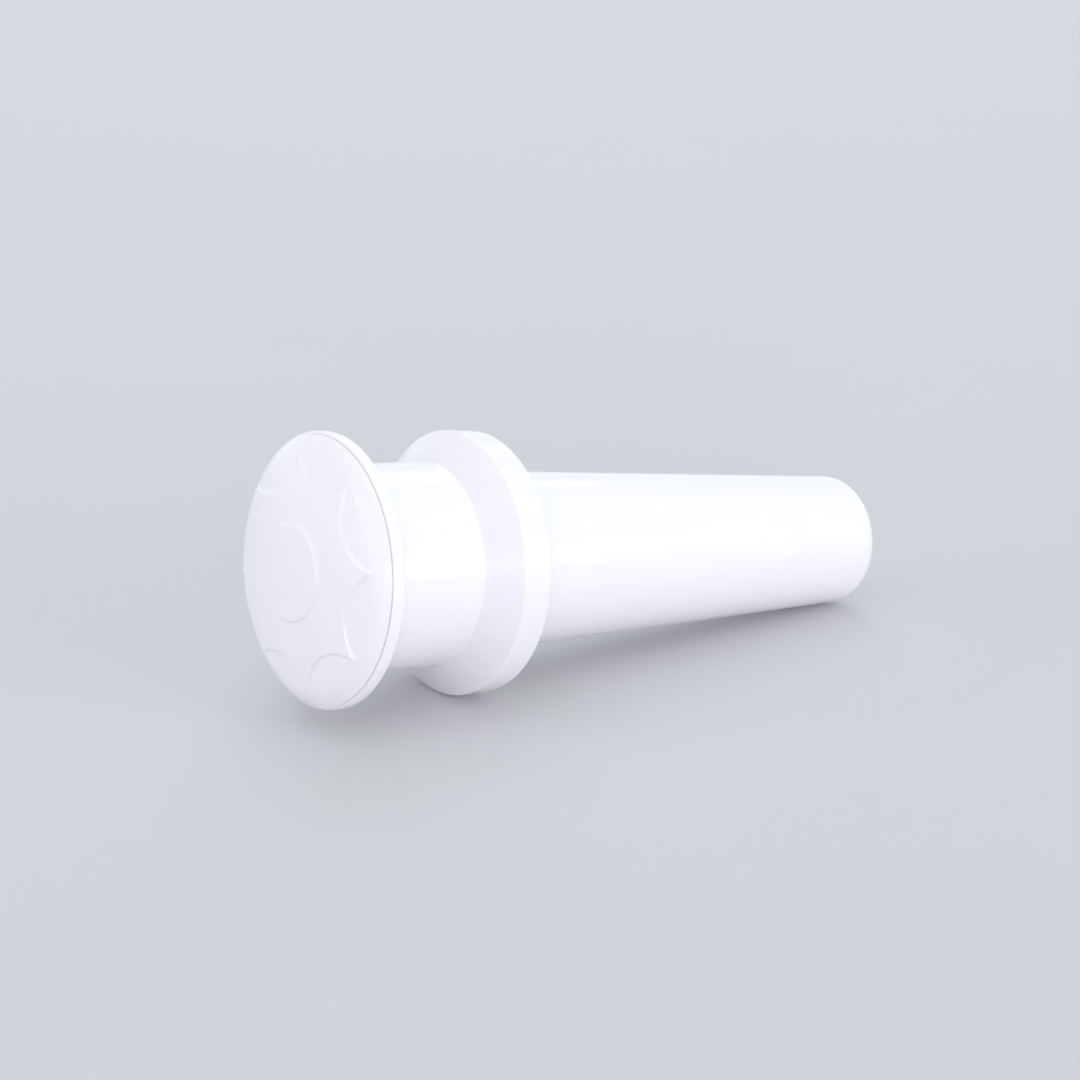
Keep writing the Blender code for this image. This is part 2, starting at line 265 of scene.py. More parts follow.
class Finish(Nodes):
    """A named material, painted by nodes that feed its Principled shader."""

    def __init__(self, name):
        self.material = bpy.data.materials.new(name)
        self.material.use_nodes = True
        super().__init__(self.material.node_tree)
        self.shader = self.tree.nodes["Principled BSDF"]
        where = self.node("ShaderNodeTexCoord", out="Object")
        laid = axis_place()
        inputs = {"Vector": where, "Location": laid.translation, "Rotation": laid.to_euler()}
        self.place = self.node("ShaderNodeMapping", {"vector_type": "TEXTURE"}, inputs)

    def set(self, **sockets):
        """Feeds the shader's sockets; an underscore stands for a space."""
        for key, value in sockets.items():
            self.feed(self.shader.inputs[key.replace("_", " ")], value)

    def split(self):
        """The radius from the tool's axis, and the station along it, in millimetres."""
        apart = {0: self.place}
        x, y, z = (self.node("ShaderNodeSeparateXYZ", inputs=apart, out=k) for k in range(3))
        return (x * x + y * y) ** 0.5 * (1 / MM), z * (-1 / MM)

    def noise(self, size, detail=2.0, stretch=(1.0, 1.0, 1.0), turn=(0.0, 0.0, 0.0)):
        """Soft noise from 0 to 1 with features about size millimetres across."""
        scale = tuple(1 / (size * MM * s) for s in stretch)
        stretched = {"Vector": self.place, "Scale": scale, "Rotation": turn}
        laid = self.node("ShaderNodeMapping", inputs=stretched)
        return self.node("ShaderNodeTexNoise", inputs={"Vector": laid, "Scale": 1.0, "Detail": detail})

    def specks(self, size):
        """Distance from the nearest of a scatter of points size millimetres apart, in units of size."""
        inputs = {"Vector": self.place, "Scale": 1 / (size * MM)}
        return self.node("ShaderNodeTexVoronoi", inputs=inputs)

    def rise(self, value, low, high):
        """0 below low, 1 above high and a smooth step between them."""
        inputs = {0: value, 1: low, 2: high, 3: 0.0, 4: 1.0}
        return self.node("ShaderNodeMapRange", {"interpolation_type": "SMOOTHSTEP"}, inputs)

    def band(self, value, low, high, soft):
        return self.rise(value, low - soft, low) * (1 - self.rise(value, high, high + soft))

    def tint(self, amount, colour, other):
        """One colour turning into another; each is three numbers or a socket."""
        a, b = (c if isinstance(c, Wire) else (*c, 1.0) for c in (colour, other))
        return self.node("ShaderNodeMix", {"data_type": "RGBA"}, {0: amount, 6: a, 7: b}, out=2)

    def relief(self, height, depth, strength=1.0):
        """Bump from a height of 0 to 1 that stands for depth millimetres."""
        inputs = {"Height": height, "Distance": depth * MM, "Strength": strength}
        return self.node("ShaderNodeBump", inputs=inputs)

    def hairlines(self, size, along, turn, amount):
        """Fine straight scuffs: long thin noise, cut off so that only its crests are left."""
        crest = self.noise(size, detail=1.0, stretch=(along, 1.0, 1.0), turn=turn)
        patches = self.rise(self.noise(size * 22, detail=1.0), 0.5, 0.72)
        return self.rise(crest, 0.66, 0.71) * patches * amount


def gloss_white_plastic():
    """Polished white ABS: flow marks along the draw, a faint orange peel, scuffs, rubbed rims, and a faint
    pink shade painted along the cap's parting gap.
    """
    f = Finish("gloss_white_plastic")
    radius, station = f.split()
    cloud = f.noise(9.0, detail=4.0)
    flow = f.noise(2.2, detail=2.0, stretch=(1.0, 1.0, 14.0))
    peel = f.noise(0.8, detail=1.0)
    scuffs = f.hairlines(0.16, 34.0, (0.3, 0.9, 0.4), 1.0)
    scuffs = scuffs + f.hairlines(0.13, 26.0, (1.2, -0.5, 1.9), 0.8)
    fingers = f.band(station, 4.0, 15.5, 3.0) * f.rise(f.noise(6.0, detail=3.0), 0.42, 0.68)
    handled = f.rise(f.noise(2.4, detail=2.0), 0.35, 0.8)
    rims = f.rise(radius, 18.2, 18.9) * handled
    nose = f.rise(station, 90.0, 95.0) * handled
    pin_holes = 1 - f.rise(f.specks(2.6), 0.022, 0.03)
    # painted shade: a faint pink darkening along the parting gap between the cap and the rim, where shade
    # falls into the gap
    parting_gap_shade = f.band(station, -0.26, 0.0, 0.08) * f.rise(radius, 18.4, 18.6)

    white = f.tint(cloud, (0.912, 0.909, 0.922), (0.886, 0.888, 0.902))
    white = f.tint(f.rise(flow, 0.35, 0.75) * 0.35, white, (0.93, 0.93, 0.935))
    white = f.tint(fingers * 0.08, white, (0.86, 0.845, 0.82))
    white = f.tint((rims + nose) * 0.05, white, (0.80, 0.79, 0.80))
    white = f.tint(pin_holes * 0.4, white, (0.62, 0.61, 0.60))
    white = f.tint(scuffs * 0.04, white, (0.78, 0.78, 0.79))
    white = f.tint(parting_gap_shade * 0.3, white, (0.93, 0.80, 0.86))
    gloss = 0.20 + cloud * 0.06 + scuffs * 0.10 + (rims + nose) * 0.05 - fingers * 0.03 + flow * 0.02
    f.set(Base_Color=white, Roughness=gloss)
    height = peel * 0.30 + flow * 0.35 + cloud * 0.35 - scuffs * 0.10 - pin_holes * 0.4
    f.set(Normal=f.relief(height, 0.010, 0.6), IOR=1.52)
    return f.material


def milky_silicone():
    """Soft cast silicone: cloudy, a satin skin, lint in it, and faint mould rings."""
    f = Finish("milky_silicone")
    station = f.split()[1]
    cloud = f.noise(2.4, detail=4.0)
    skin = f.noise(0.12, detail=3.0)
    lint = f.rise(f.noise(0.5, detail=1.0, stretch=(7.0, 1.0, 1.0), turn=(0.4, 0.2, 1.1)), 0.68, 0.74)
    rings = f.noise(0.25, detail=1.0, stretch=(60.0, 60.0, 1.0))
    edge = f.rise(station, TIP_END - 0.5, TIP_END)
    milk = f.tint(cloud, (0.80, 0.825, 0.85), (0.73, 0.755, 0.79))
    milk = f.tint(lint * 0.35, milk, (0.60, 0.60, 0.61))
    milk = f.tint(edge * f.rise(skin, 0.4, 0.6) * 0.2, milk, (0.72, 0.70, 0.68))
    f.set(Base_Color=milk, Roughness=0.42 + skin * 0.16 + lint * 0.1 - edge * 0.06)
    f.set(Normal=f.relief(skin * 0.5 + rings * 0.3 + lint * 0.4, 0.02, 0.8))
    f.set(Subsurface_Weight=0.25, Subsurface_Scale=0.0012, IOR=1.41)
    return f.material


def natural_plastic():
    """Uncoloured acetal: warm white, satin from a spark-eroded mould, with rubbed slides."""
    f = Finish("natural_acetal")
    station = f.split()[1]
    cloud = f.noise(5.0, detail=4.0)
    spark = f.noise(0.14, detail=2.0)
    strokes = f.noise(0.3, detail=1.0, stretch=(1.0, 1.0, 40.0))
    grease = f.rise(f.noise(2.6, detail=3.0), 0.5, 0.64) * f.band(station, 20.0, 38.5, 1.0)
    body = f.tint(cloud, (0.82, 0.805, 0.76), (0.76, 0.745, 0.70))
    body = f.tint(f.rise(strokes, 0.55, 0.72) * 0.3, body, (0.70, 0.69, 0.66))
    body = f.tint(grease * 0.35, body, (0.66, 0.62, 0.50))
    f.set(Base_Color=body, Roughness=0.44 + spark * 0.12 + cloud * 0.05 - grease * 0.22)
    f.set(Normal=f.relief(spark * 0.6 + strokes * 0.4, 0.016, 0.8), Subsurface_Weight=0.08)
    f.set(Subsurface_Scale=0.001)
    return f.material


def grey_elastomer():
    """Soft matt grey: fine grain, pale bloom in patches, and dust that clings to it."""
    f = Finish("grey_elastomer")
    grain = f.noise(0.1, detail=3.0)
    bloom = f.rise(f.noise(2.0, detail=4.0), 0.45, 0.7)
    dust = 1 - f.rise(f.specks(0.9), 0.06, 0.11)
    grey = f.tint(bloom * 0.5, (0.30, 0.31, 0.33), (0.42, 0.43, 0.44))
    grey = f.tint(dust * 0.5, grey, (0.56, 0.55, 0.53))
    f.set(Base_Color=grey, Roughness=0.62 + grain * 0.16 + bloom * 0.08)
    f.set(Normal=f.relief(grain + dust * 0.5, 0.02, 0.8))
    return f.material


def greased_rubber():
    """Black nitrile: matt where it is dry, with a thin wet film of grease in patches."""
    f = Finish("greased_black_rubber")
    grain = f.noise(0.09, detail=3.0)
    film = f.rise(f.noise(1.3, detail=3.0), 0.42, 0.58)
    black = f.tint(grain, (0.022, 0.022, 0.024), (0.045, 0.044, 0.043))
    black = f.tint(film * 0.3, black, (0.09, 0.085, 0.07))
    f.set(Base_Color=black, Roughness=0.62 - film * 0.36 + grain * 0.06)
    f.set(Normal=f.relief(grain * 0.6 + film * 0.4, 0.015, 0.8))
    return f.material


def honed_aluminium():
    """Drawn tube: cross-hatch in the honed bore, lines along the draw outside, dull oxide clouds."""
    f = Finish("honed_aluminium")
    radius, station = f.split()
    inside = 1 - f.rise(radius, 9.0, 9.3)
    hatch = f.noise(0.06, detail=1.0, stretch=(30.0, 30.0, 1.0)) * inside
    draw = f.noise(0.08, detail=2.0, stretch=(1.0, 1.0, 90.0)) * (1 - inside)
    oxide = f.rise(f.noise(3.0, detail=4.0), 0.45, 0.7)
    ends = f.band(station, 30.3, 31.0, 0.2) + f.band(station, 57.6, 58.2, 0.2)
    metal = f.tint(oxide, (0.80, 0.81, 0.82), (0.70, 0.71, 0.72))
    metal = f.tint(ends * 0.4, metal, (0.86, 0.86, 0.87))
    f.set(Base_Color=metal, Metallic=1.0, Roughness=0.24 + oxide * 0.12 + hatch * 0.12 + draw * 0.12)
    f.set(Normal=f.relief(hatch + draw, 0.008, 0.9))
    return f.material


def plated_steel():
    """Zinc-plated steel: a slightly blue and straw passivation, fine draw lines, dull spots."""
    f = Finish("plated_steel")
    cloud = f.noise(1.6, detail=3.0)
    lines = f.noise(0.05, detail=2.0, stretch=(12.0, 12.0, 1.0))
    spots = 1 - f.rise(f.specks(0.7), 0.10, 0.18)
    metal = f.tint(cloud, (0.62, 0.64, 0.67), (0.68, 0.65, 0.58))
    metal = f.tint(spots * 0.5, metal, (0.42, 0.41, 0.40))
    f.set(Base_Color=metal, Metallic=1.0, Roughness=0.22 + cloud * 0.12 + spots * 0.22 + lines * 0.08)
    f.set(Normal=f.relief(lines + cloud * 0.4 - spots * 0.3, 0.006, 0.9))
    return f.material


def pale_floor():
    f = Finish("pale_floor")
    cloud = f.noise(60.0, detail=3.0)
    tooth = f.noise(0.7, detail=2.0)
    grey = f.tint(cloud, (0.612, 0.622, 0.640), (0.628, 0.634, 0.648))
    f.set(Base_Color=grey, Roughness=0.8 + tooth * 0.1)
    f.set(Normal=f.relief(tooth, 0.01, 0.4))
    return f.material


white_gloss = gloss_white_plastic()
silicone = milky_silicone()
natural = natural_plastic()
soft_grey = grey_elastomer()
rubber = greased_rubber()
aluminium = honed_aluminium()
steel = plated_steel()


# ---------------------------------------------------------------- outlines and skins


def rounded(corners, ring=True):
    """An outline with each corner (radius, station, fillet) rounded, and a point either side of it."""
    count = len(corners)
    outline = []
    for i, (r, s, fillet) in enumerate(corners):
        here = Vector((r, s))
        if fillet == 0 or (not ring and i in (0, count - 1)):
            outline.append((r, s))
            continue
        back = Vector(corners[i - 1][:2]) - here
        on = Vector(corners[(i + 1) % count][:2]) - here
        between = back.angle(on)
        reach = fillet / math.tan(between / 2)
        keep = reach + min(0.06, 0.3 * (min(back.length, on.length) - reach))
        back.normalize()
        on.normalize()
        centre = here + (back + on).normalized() * (fillet / math.sin(between / 2))
        start = here + back * reach - centre
        sweep = math.pi - between
        if start.x * on.y - start.y * on.x < 0:
            sweep = -sweep
        outline.append(tuple(here + back * keep))
        steps = max(3, round(abs(sweep) / math.radians(11)))
        for k in range(steps + 1):
            a = sweep * k / steps
            c, w = math.cos(a), math.sin(a)
            across = start.x * c - start.y * w
            along = start.x * w + start.y * c
            outline.append((centre.x + across, centre.y + along))
        outline.append(tuple(here + on * keep))
    return outline


def link(name, data):
    obj = bpy.data.objects.new(name, data)
    bpy.context.scene.collection.objects.link(obj)
    return obj


def mesh_of(name, bm):
    mesh = bpy.data.meshes.new(name)
    bm.to_mesh(mesh)
    bm.free()
    return mesh


def cut(obj, cutter_shape):
    """Takes a closed shape, drawn about the same axis, away from a piece."""
    cutter = link("cutter", mesh_of("cutter", cutter_shape))
    taken = obj.modifiers.new("cut", "BOOLEAN")
    taken.operation = "DIFFERENCE"
    taken.solver = "EXACT"
    taken.object = cutter
    graph = bpy.context.evaluated_depsgraph_get()
    left = bpy.data.meshes.new_from_object(obj.evaluated_get(graph), depsgraph=graph)
    obj.modifiers.clear()
    obj.data = left
    bpy.data.objects.remove(cutter)


def finish_piece(name, bm, body, material, stands_for, cutter=None):
    """Lays a drawn piece on the tool's axis, and ties it to its body, finish and CAD node."""
    obj = link(name, mesh_of(name, bm))
    obj.data.materials.append(material)
    if cutter:
        cut(obj, cutter)
    obj.data.transform(axis_place())
    obj.data.shade_smooth()
    obj.data.set_sharp_from_angle(angle=SHARP)
    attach(obj, body)
    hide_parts(stands_for)
    return obj


def sheet_of_rings(bm, rings):
    """Joins equally long rings of points into one skin. A ring of one point is a pole."""
    rows = [[bm.verts.new(p) for p in ring] for ring in rings]
    for upper, lower in zip(rows, rows[1:]):
        count = max(len(upper), len(lower))
        for j in range(count):
            k = (j + 1) % count
            if len(upper) == 1:
                bm.faces.new((upper[0], lower[j], lower[k]))
            elif len(lower) == 1:
                bm.faces.new((upper[j], lower[0], upper[k]))
            else:
                bm.faces.new((upper[j], lower[j], lower[k], upper[k]))
    return rows


def point(radius, station, angle):
    return (radius * math.cos(angle) * MM, radius * math.sin(angle) * MM, -station * MM)


def circle(radius, station, steps):
    if radius == 0:
        return [point(0.0, station, 0.0)]
    return [point(radius, station, 2 * math.pi * j / steps) for j in range(steps)]


def turned(name, outline, body, material, steps=ROUND, ring=True, cutter=None):
    """A piece of revolution. A ring's outline closes on itself, any other one ends on the axis."""
    bm = bmesh.new()
    if ring:
        outline = outline + outline[:1]
    rows = sheet_of_rings(bm, [circle(r, s, steps) for r, s in outline])
    if ring:
        for first, last in zip(rows[0], rows[-1]):
            bmesh.ops.pointmerge(bm, verts=(first, last), merge_co=first.co)
    return finish_piece(name + "_skin", bm, body, material, name, cutter)


def posts(radius, top, end, ring_r, count):
    """Equal round posts on a circle, to cut holes with."""
    bm = bmesh.new()
    for i in range(count):
        size = {"radius1": radius * MM, "radius2": radius * MM, "depth": (end - top) * MM}
        made = bmesh.ops.create_cone(bm, cap_ends=True, segments=40, **size)
        middle = Vector(point(ring_r, (top + end) / 2, 2 * math.pi * i / count))
        bmesh.ops.translate(bm, verts=made["verts"], vec=middle)
    return bm


# ---------------------------------------------------------------- thumb cap


def edge_at(t):
    """A point of the button's rounded edge, from the dome (t = 0) to its upright side (t = 1)."""
    weights = ((1 - t) ** 3, 3 * t * (1 - t) ** 2, 3 * t * t * (1 - t), t**3)
    return tuple(sum(w * p[k] for w, p in zip(weights, EDGE_CURVE)) for k in (0, 1))


def share_at(radius):
    """How far along the rounded edge this radius is reached."""
    low, high = 0.0, 1.0
    for _ in range(24):
        middle = (low + high) / 2
        if edge_at(middle)[0] < radius:
            low = middle
        else:
            high = middle
    return low


def dome(radius):
    """Station of the dome's lowest level at this radius."""
    if radius > DOME_EDGE_R:
        return edge_at(share_at(radius))[1]
    return DOME_DROP * (radius / BUTTON_R) ** 2 - DOME_RISE


sector = math.pi / STAR_POINTS
hollow_tip = Vector((STAR_TIP_R * math.cos(sector), STAR_TIP_R * math.sin(sector)))
hollow_sag = hollow_tip.x - STAR_WAIST_R
HOLLOW_R = (hollow_tip.y**2 + hollow_sag**2) / (2 * hollow_sag)
HOLLOW_CENTRE = STAR_WAIST_R + HOLLOW_R
hollow_centres = [
    Vector((math.cos(a), math.sin(a))) * HOLLOW_CENTRE
    for a in (STAR_TURN + (2 * k + 1) * sector for k in range(STAR_POINTS))
]


def ease(distance, width):
    """0 well outside an edge, 1 well inside it, and a smooth wall between."""
    t = min(max(distance / width + 0.5, 0.0), 1.0)
    return t * t * (3 - 2 * t)


def inside_star(x, y):
    """Distance inside the star's hollow sides, with its points blunted."""
    near = sorted((Vector((x, y)) - c).length - HOLLOW_R for c in hollow_centres)[:2]
    blend = max(TIP_BLUNT - (near[1] - near[0]), 0.0) / TIP_BLUNT
    return near[0] - blend * blend * TIP_BLUNT / 4


def face_point(radius, angle):
    x, y = radius * math.cos(angle), radius * math.sin(angle)
    level = ease(inside_star(x, y), STEP_WIDTH) + ease(DISC_R - radius, STEP_WIDTH)
    return point(radius, dome(radius) - STEP * level, angle)


def hollow_radius(angle, offset):
    """How far out the star's side lies at this angle, moved inwards by offset."""
    inner = (HOLLOW_R + offset) ** 2 - (HOLLOW_CENTRE * math.sin(angle)) ** 2
    return HOLLOW_CENTRE * math.cos(angle) - math.sqrt(max(inner, 0.0))


def star_columns(columns):
    """(angle round the cap, angle from the middle of the sector), closer together at the points."""
    angles = []
    for k in range(STAR_POINTS):
        for i in range(columns):
            u = 2 * i / columns - 1
            phi = math.copysign(1 - (1 - abs(u)) ** 1.5, u) * sector
            angles.append((STAR_TURN + (2 * k + 1) * sector + phi, phi))
    return angles


def face_radii(phi):
    """Radii of the face's rings, this far round from a sector's middle, closest at the steps."""
    radii = [0.5, 1.5, 2.5, 3.5, 4.5, 5.3, 5.9]
    radii += [DISC_R - 0.4 + 0.08 * i for i in range(11)]
    radii += [7.5, APRON_R]
    inner = min(hollow_radius(phi, 1.2), STAR_TIP_R - 0.6)
    radii += [APRON_R + (inner - APRON_R) * share for share in (0.15, 0.3, 0.45, 0.6, 0.75, 0.88)]
    offsets = [0.9, 0.65] + [0.42 - 0.07 * i for i in range(13)] + [-0.7, -1.0, -1.4]
    for i, offset in enumerate(offsets):
        radii.append(min(hollow_radius(phi, offset), STAR_TIP_R - 0.55 + 0.045 * i))
    last = radii[-1]
    return radii + [last + (FACE_R - last) * share for share in (0.25, 0.5, 0.75, 1.0)]


def cap_underside():
    """The cap's outline from its face, over the rounded edge and its land, to the middle below."""
    start = share_at(FACE_R)
    edge = [edge_at(start + (CAP_SHARE - start) * i / 9) for i in range(1, 10)]
    land = edge[-1][1]
    corners = [(*edge[-2], 0), (*edge[-1], 0.07)]
    corners += [(CAP_LAND_R, land, 0.05), (CAP_LAND_R - 0.6, land - 0.11, 0)]
    outline = edge[:-2] + rounded(corners, ring=False)
    radii = [(CAP_LAND_R - 0.9) * i / 8 for i in range(8, -1, -1)]
    return outline + [(r, dome(r) + CAP_WALL) for r in radii]


def make_cap_peg(number, angle):
    root = dome(PEG_RING_R) + CAP_WALL + 0.02
    tip = WEB_BACK - 0.1
    corners = [(0.0, root, 0), (PEG_R + 0.25, root, 0.1), (PEG_R, root + 0.5, 0.3)]
    corners += [(PEG_R, tip - 0.3, 0.1), (PEG_R - 0.3, tip, 0.1), (0.0, tip, 0)]
    bm = bmesh.new()
    sheet_of_rings(bm, [circle(r, s, 40) for r, s in rounded(corners, ring=False)])
    shift = Vector((PEG_RING_R * math.cos(angle), PEG_RING_R * math.sin(angle), 0.0)) * MM
    bmesh.ops.translate(bm, verts=bm.verts, vec=shift)
    finish_piece(f"thumb_cap_peg_{number}", bm, "handle", white_gloss, "thumb_cap")


def make_thumb_cap():
    angles = star_columns(SECTOR_COLUMNS)
    columns = [[face_point(r, angle) for r in face_radii(phi)] for angle, phi in angles]
    rings = [[face_point(0.0, 0.0)], *zip(*columns)]
    for r, s in cap_underside():
        rings.append([point(r, s, angle) for angle, _ in angles] if r else [point(0.0, s, 0.0)])
    bm = bmesh.new()
    sheet_of_rings(bm, rings)
    finish_piece("thumb_cap_dome", bm, "handle", white_gloss, "thumb_cap")
    for i in range(PEGS):
        make_cap_peg(i + 1, 2 * math.pi * i / PEGS)


# ---------------------------------------------------------------- handle


def make_handle_shell():
    rim = edge_at(RIM_SHARE)
    outline = rounded(
        [
            (WEB_HOLE_R, rim[1], 0.1),
            (*rim, 0.05),
            (*edge_at(0.88), 0),
            (*edge_at(0.94), 0),
            (*edge_at(1.0), 0),
            (BUTTON_R, RIM_BACK, 0.35),
            (NECK_R, RIM_BACK, 0.6),
            (NECK_R, NECK_END, 0.5),
            (FLANGE_R_FRONT, FLANGE_FRONT, 0.35),
            (FLANGE_R_BACK, FLANGE_BACK, 0.4),
            (POCKET_R, FLANGE_BACK, 0.1),
            (POCKET_R, POCKET_TOP, 0.2),
            (NECK_BORE_R, POCKET_TOP, 0.2),
            (NECK_BORE_R, WEB_BACK, 0.3),
            (BOSS_R, WEB_BACK, 0.3),
            (BOSS_R, BOSS_END, 0.2),
            (ROD_R + GAP, BOSS_END, 0.15),
            (ROD_R + GAP, WEB_BACK, 0),
            (WEB_HOLE_R, WEB_BACK, 0.1),
        ]
    )
    holes = posts(PEG_R + 0.15, rim[1] - 1, WEB_BACK + 1, PEG_RING_R, PEGS)
    turned("handle_shell", outline, "handle", white_gloss, cutter=holes)


def make_flange_ring():
    top = POCKET_TOP + GAP
    rim = POCKET_R - 0.12
    back = FLANGE_BACK - 0.03
    corners = [(RING_LIP_R, top, 0.1), (RING_LIP_R, RING_STEP, 0.2), (rim, RING_STEP, 0.1)]
    corners += [(rim, back, 0.15), (MOUTH_R, back, 0.35), (MOUTH_R, top, 0.1)]
    turned("flange_ring", rounded(corners), "handle", white_gloss)


def make_bumper_ring():
    corners = [(BUMPER_HOLE_R, BUMPER_TOP, 0.1), (BUMPER_R, BUMPER_TOP, 0.1)]
    corners += [(BUMPER_R, BUMPER_END, 0.35), (BUMPER_HOLE_R, BUMPER_END, 0.35)]
    turned("bumper_ring", rounded(corners), "handle", soft_grey)


def make_piston_rod():
    top_hole = ROD_TOP + PILOT_DEPTH
    end_hole = ROD_END - PILOT_DEPTH
    shoulder_end = SHOULDER_TOP + SHOULDER_DEPTH
    corners = [(0.0, top_hole, 0), (PILOT_R, top_hole, 0.2), (PILOT_R, ROD_TOP, 0.2)]
    corners += [(ROD_R, ROD_TOP, 0.25), (ROD_R, SHOULDER_TOP, 0.2), (SHOULDER_R, SHOULDER_TOP, 0.15)]
    corners += [(SHOULDER_R, shoulder_end, 0.15), (ROD_R, shoulder_end, 0.12), (ROD_R, ROD_END, 0.25)]
    corners += [(PILOT_R, ROD_END, 0.2), (PILOT_R, end_hole, 0.2), (0.0, end_hole, 0)]
    outline = rounded(corners, ring=False)
    turned("piston_rod", outline, "handle", natural, steps=FINE, ring=False)


def make_valve_flap():
    corners = [(FLAP_HOLE_R, FLAP_TOP, 0.08), (FLAP_R, FLAP_TOP, 0.15)]
    corners += [(FLAP_R, FLAP_END, 0.05), (FLAP_HOLE_R, FLAP_END, 0.08)]
    turned("valve_flap", rounded(corners), "handle", silicone, steps=FINE)


def make_piston_body():
    seat = ROD_END + GAP
    corners = [(GLAND_R, PISTON_TOP, 0.1), (PISTON_R, PISTON_TOP, 0.25), (PISTON_R, GROOVE_TOP, 0.1)]
    corners += [(GROOVE_R, GROOVE_TOP, 0.15), (GROOVE_R, GROOVE_END, 0.15), (PISTON_R, GROOVE_END, 0.1)]
    corners += [(PISTON_R, PISTON_END, 0.25), (PISTON_HOLE_R, PISTON_END, 0.1)]
    corners += [(PISTON_HOLE_R, seat, 0.05), (GLAND_R, seat, 0.1)]
    vents = posts(VENT_R, PISTON_TOP - 1, PISTON_END + 1, VENT_RING_R, VENTS)
    turned("piston_body", rounded(corners), "handle", natural, cutter=vents)


def make_piston_seal():
    middle = (GROOVE_TOP + GROOVE_END) / 2
    steps = 28
    angles = [2 * math.pi * i / steps - math.pi for i in range(steps)]
    outline = [(SEAL_R + SEAL_WIRE_R * math.cos(a), middle + SEAL_WIRE_R * math.sin(a)) for a in angles]
    turned("piston_seal", outline, "handle", rubber)


def thread_ring(seat, towards, depth, steps):
    """One ring of the screw's threaded shank, this deep under its head."""
    ring = []
    for j in range(steps):
        phase = (depth / THREAD_PITCH - towards * j / steps) % 1.0
        crest = max(0.0, 1 - abs(phase - 0.5) / 0.32)
        taper = min(1.0, (SCREW_LENGTH - 0.3 - depth) / 1.2, (depth - 0.3) / 0.4)
        radius = THREAD_ROOT_R + THREAD_DEPTH * crest * max(taper, 0.0)
        ring.append(point(radius, seat + towards * depth, 2 * math.pi * j / steps))
    return ring


def cross_recess(seat, towards):
    """The shape that a cross-point driver fills in the screw's head."""
    bm = bmesh.new()
    for width, depth in ((3.2, 0.62), (0.62, 3.2)):
        made = bmesh.ops.create_cube(bm, size=1.0)
        bmesh.ops.scale(bm, verts=made["verts"], vec=Vector((width, depth, 1.7)) * MM)
        inner = [v for v in made["verts"] if v.co.z * towards < 0]
        bmesh.ops.scale(bm, verts=inner, vec=(0.55, 0.55, 1.0))
        head = Vector((0.0, 0.0, -(seat - towards * 1.5) * MM))
        bmesh.ops.translate(bm, verts=made["verts"], vec=head)
    return bm


def make_screw(name, seat, towards):
    """A pan-head screw. seat is the station under its head; towards is 1 if it points to the nose."""
    steps = 48
    rings_a_turn = 8
    head = [(0.0, -1.5, 0), (1.9, -1.4, 0.9), (2.6, -0.7, 0.5)]
    head += [(2.6, 0.0, 0.1), (0.85, 0.0, 0.06), (0.8, 0.4, 0)]
    tip = [(0.7, SCREW_LENGTH - 0.35), (0.4, SCREW_LENGTH - 0.1), (0.0, SCREW_LENGTH)]
    rings = [circle(r, seat + towards * s, steps) for r, s in rounded(head, ring=False)]
    for i in range(int((SCREW_LENGTH - 0.8) / THREAD_PITCH * rings_a_turn)):
        rings.append(thread_ring(seat, towards, 0.5 + THREAD_PITCH * i / rings_a_turn, steps))
    rings += [circle(r, seat + towards * s, steps) for r, s in tip]
    if towards < 0:
        rings.reverse()
    bm = bmesh.new()
    sheet_of_rings(bm, rings)
    cutter = cross_recess(seat, towards)
    finish_piece(name + "_skin", bm, "handle", steel, name, cutter)


def make_return_spring():
    """Closed end turns and an even pitch between them, drawn at rest length; the real spring shortens as
    the barrel is pressed in.
    """
    steps, sides = 44, 14
    first = WEB_BACK + GAP + WIRE_R
    last = WELL_FLOOR - GAP - WIRE_R
    closed = 2.2 * WIRE_R
    pitch = (last - first - 2 * closed) / (SPRING_TURNS - 2)

    def centre(i):
        turns = i / steps
        middle = min(max(turns - 1, 0.0), SPRING_TURNS - 2)
        station = first + closed * (turns - middle) + pitch * middle
        return Vector(point(SPRING_R, station, 2 * math.pi * turns))

    count = SPRING_TURNS * steps
    rings = [[centre(0)]]
    for i in range(count + 1):
        tangent = (centre(i + 1) - centre(i - 1)).normalized()
        outward = Vector((centre(i).x, centre(i).y, 0.0)).normalized()
        side = outward.cross(tangent)
        wire = [2 * math.pi * j / sides for j in range(sides)]
        rings.append([centre(i) + (outward * math.cos(b) + side * math.sin(b)) * WIRE_R * MM for b in wire])
    rings.append([centre(count)])
    bm = bmesh.new()
    sheet_of_rings(bm, rings)
    spring = finish_piece("return_spring_skin", bm, "handle", steel, "return_spring")
    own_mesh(spring)


# ---------------------------------------------------------------- barrel


def make_barrel_shell():
    corners = [(BARREL_R, SHELL_TOP, 0.15), (BARREL_R, FLANGE_BACK, 0)]
    corners += [(NOSE_R - 0.135, NOSE_END, NOSE_ROUND * 0.97), (NOSE_HOLE_R, NOSE_END, 0.25)]
    corners += [(NOSE_HOLE_R, NOSE_INSIDE, 0.2), (NOSE_BORE_R - 0.3, NOSE_INSIDE, 1.0)]
    corners += [(NOSE_BORE_R, STEP_STATION, 0.1), (STEP_R, STEP_STATION, 0.1)]
    corners += [(BORE_TAPER_R, BORE_TAPER_TOP, 0), (BARREL_BORE_R, HEAD_END, 0)]
    corners += [(BARREL_BORE_R, SHELL_TOP, 0.2)]
    turned("barrel_shell", rounded(corners), "barrel", white_gloss)


